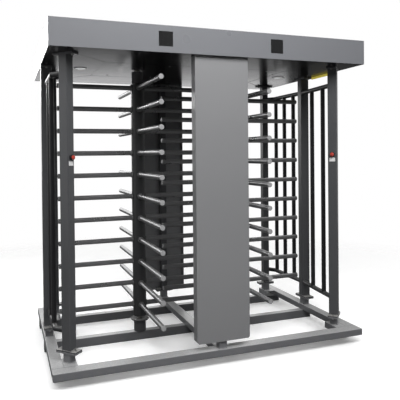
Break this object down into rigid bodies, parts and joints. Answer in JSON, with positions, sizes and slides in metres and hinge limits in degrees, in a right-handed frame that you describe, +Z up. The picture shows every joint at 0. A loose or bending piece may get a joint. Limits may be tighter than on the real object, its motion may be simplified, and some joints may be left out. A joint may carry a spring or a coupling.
{
  "type": "full height turnstile",
  "caption": "Twin full height turnstile: tubular-wing rotors turn between barred side fences and solid centre panels under a deep flat canopy, on a raised beam base.",
  "frame": {"origin": "On the floor, under the middle of the base and of the canopy.", "axes": "+X to the right as seen from the front, +Y from the front to the rear, +Z up."},
  "size_m": [2.384, 1.518, 2.37],
  "materials": {
    "base_paint": "satin grey powder coat, scuffed on top",
    "post_paint": "dark grey powder coat, satin",
    "panel_paint": "mid grey powder coat, smooth satin",
    "fence_paint": "near black powder coat",
    "fascia_paint": "mid grey powder coat, smooth satin",
    "soffit_steel": "brushed stainless sheet",
    "cover_sheet": "plain grey sheet",
    "zinc_bolts": "zinc plated",
    "head_frame_paint": "dark primer",
    "mech_steel": "machined and passivated steel",
    "bearing_iron": "painted cast iron",
    "solenoid_body": "moulded black housing",
    "box_paint": "light grey enamel",
    "column_paint": "dark grey powder coat",
    "arm_metal": "satin grey metal",
    "cap_metal": "plain turned end cap",
    "lamp_metal": "satin bezel",
    "lamp_glass": "frosted lens",
    "window_plastic": "dark smoked window",
    "strip_plastic": "yellow strip",
    "collar_plastic": "black collar",
    "button_red": "red mushroom head",
    "label_plastic": "bare label plate"
  },
  "bodies": {
    "frame": {"base_front_beam": "base_paint", "base_side_beams": "base_paint", "base_centre_beam": "base_paint", "floor_sleepers": "base_paint", "corner_pads": "base_paint", "post_stubs": "base_paint", "foot_bolts": "zinc_bolts", "front_posts": "post_paint", "mid_posts": "post_paint", "rear_posts": "post_paint", "centre_posts": "post_paint", "front_panel": "panel_paint", "rear_panel": "panel_paint", "left_fence": "fence_paint", "right_fence": "fence_paint", "long_fascias": "fascia_paint", "end_fascias": "fascia_paint", "long_soffits": "soffit_steel", "end_soffits": "soffit_steel", "top_cover": "cover_sheet", "service_hatch": "soffit_steel", "hatch_screws": "zinc_bolts", "head_rails": "head_frame_paint", "head_gussets": "head_frame_paint", "head_bolts": "zinc_bolts", "lamp_bezels": "lamp_metal", "lamp_lenses": "lamp_glass", "indicator_windows": "window_plastic", "edge_strip": "strip_plastic", "button_collars": "collar_plastic", "label_plates": "label_plastic", "foot_bearings": "bearing_iron", "top_bearings": "bearing_iron", "head_plates": "mech_steel", "solenoids": "solenoid_body", "pawl_pins": "mech_steel", "control_box": "box_paint"},
    "left_rotor": {"left_column": "column_paint", "left_arms": "arm_metal", "left_arm_caps": "cap_metal", "left_shafts": "mech_steel", "left_coupling": "bearing_iron", "left_index_disc": "mech_steel"},
    "right_rotor": {"right_column": "column_paint", "right_arms": "arm_metal", "right_arm_caps": "cap_metal", "right_shafts": "mech_steel", "right_coupling": "bearing_iron", "right_index_disc": "mech_steel"},
    "left_stop_button": {"left_button": "button_red"},
    "right_stop_button": {"right_button": "button_red"},
    "left_entry_pawl_lever": {"left_entry_pawl": "mech_steel"},
    "left_entry_plunger_rod": {"left_entry_plunger": "mech_steel"},
    "left_exit_pawl_lever": {"left_exit_pawl": "mech_steel"},
    "left_exit_plunger_rod": {"left_exit_plunger": "mech_steel"},
    "right_entry_pawl_lever": {"right_entry_pawl": "mech_steel"},
    "right_entry_plunger_rod": {"right_entry_plunger": "mech_steel"},
    "right_exit_pawl_lever": {"right_exit_pawl": "mech_steel"},
    "right_exit_plunger_rod": {"right_exit_plunger": "mech_steel"}
  },
  "joints": [
    {"name": "left_rotor_turn", "type": "hinge", "parent": "frame", "child": "left_rotor", "pos_m": [-0.4235, 0, 0.12], "axis": [0, 0, 1], "continuous": true},
    {"name": "right_rotor_turn", "type": "hinge", "parent": "frame", "child": "right_rotor", "pos_m": [0.4235, 0, 0.12], "axis": [0, 0, 1], "continuous": true},
    {"name": "left_stop_press", "type": "slide", "parent": "frame", "child": "left_stop_button", "axis": [-0.7071, 0.7071, 0], "range_m": [0, 0.004]},
    {"name": "right_stop_press", "type": "slide", "parent": "frame", "child": "right_stop_button", "axis": [0.7071, 0.7071, 0], "range_m": [0, 0.004]},
    {"name": "left_entry_pawl_swing", "type": "hinge", "parent": "frame", "child": "left_entry_pawl_lever", "pos_m": [-0.29976, 0.03889, 2.298], "axis": [0, 0, 1], "range_deg": [0, 8], "stiffness_Nm_per_rad": 0.5},
    {"name": "left_entry_plunger_stroke", "type": "slide", "parent": "frame", "child": "left_entry_plunger_rod", "axis": [0.7071, 0.7071, 0], "range_m": [0, 0.0056]},
    {"name": "left_exit_pawl_swing", "type": "hinge", "parent": "frame", "child": "left_exit_pawl_lever", "pos_m": [-0.54724, 0.03889, 2.298], "axis": [0, 0, -1], "range_deg": [0, 8], "stiffness_Nm_per_rad": 0.5},
    {"name": "left_exit_plunger_stroke", "type": "slide", "parent": "frame", "child": "left_exit_plunger_rod", "axis": [-0.7071, 0.7071, 0], "range_m": [0, 0.0056]},
    {"name": "right_entry_pawl_swing", "type": "hinge", "parent": "frame", "child": "right_entry_pawl_lever", "pos_m": [0.54724, 0.03889, 2.298], "axis": [0, 0, 1], "range_deg": [0, 8], "stiffness_Nm_per_rad": 0.5},
    {"name": "right_entry_plunger_stroke", "type": "slide", "parent": "frame", "child": "right_entry_plunger_rod", "axis": [0.7071, 0.7071, 0], "range_m": [0, 0.0056]},
    {"name": "right_exit_pawl_swing", "type": "hinge", "parent": "frame", "child": "right_exit_pawl_lever", "pos_m": [0.29976, 0.03889, 2.298], "axis": [0, 0, -1], "range_deg": [0, 8], "stiffness_Nm_per_rad": 0.5},
    {"name": "right_exit_plunger_stroke", "type": "slide", "parent": "frame", "child": "right_exit_plunger_rod", "axis": [-0.7071, 0.7071, 0], "range_m": [0, 0.0056]}
  ],
  "couplings": [
    {"joint": "left_entry_plunger_stroke", "follows": "left_entry_pawl_swing", "m_per_rad": 0.04},
    {"joint": "left_exit_plunger_stroke", "follows": "left_exit_pawl_swing", "m_per_rad": 0.04},
    {"joint": "right_entry_plunger_stroke", "follows": "right_entry_pawl_swing", "m_per_rad": 0.04},
    {"joint": "right_exit_plunger_stroke", "follows": "right_exit_pawl_swing", "m_per_rad": 0.04}
  ]
}
